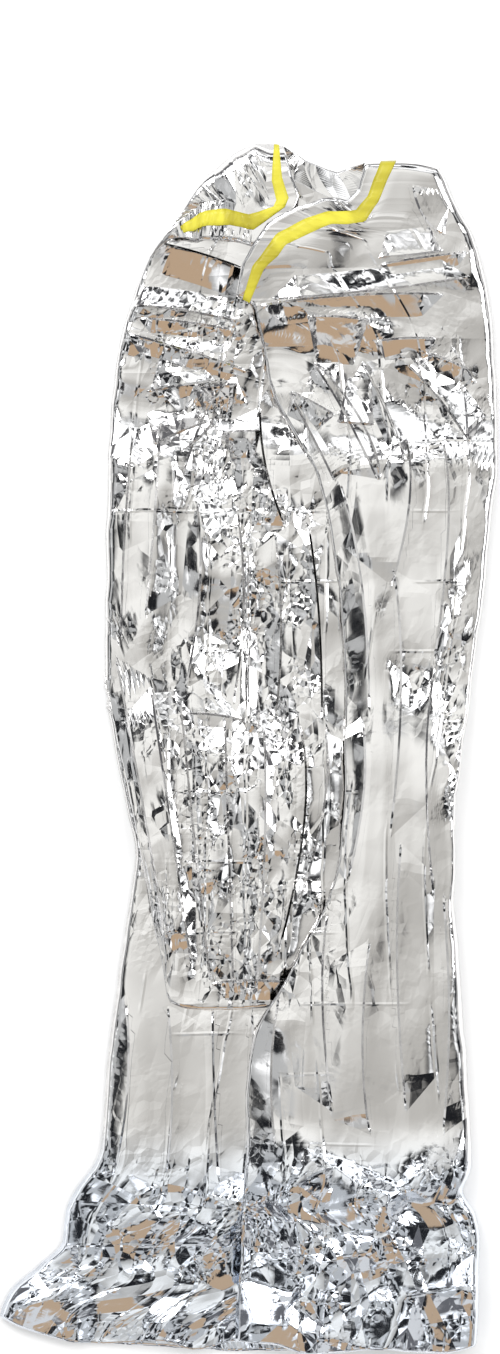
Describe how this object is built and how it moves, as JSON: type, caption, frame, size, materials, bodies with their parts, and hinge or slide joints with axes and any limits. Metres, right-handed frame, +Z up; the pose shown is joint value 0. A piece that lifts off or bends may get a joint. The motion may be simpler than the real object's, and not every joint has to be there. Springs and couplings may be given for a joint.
{
  "type": "emergency foil blanket",
  "caption": "Crinkled silver emergency foil blanket, folded over on itself on a flat surface, with yellow tape along its top edge.",
  "frame": {"origin": "middle of the underside's box, on the surface that the blanket lies on", "axes": "+Y towards the collar, +Z up off the surface, +X to the right in the view from above"},
  "size_m": [0.6768, 1.6377, 0.059],
  "materials": {
    "foil": "crinkled mirror-like metallised film",
    "tape": "satin"
  },
  "bodies": {
    "root": {"foil_sheet": "foil", "collar_tape": "tape", "front_tape": "tape"}
  },
  "joints": []
}
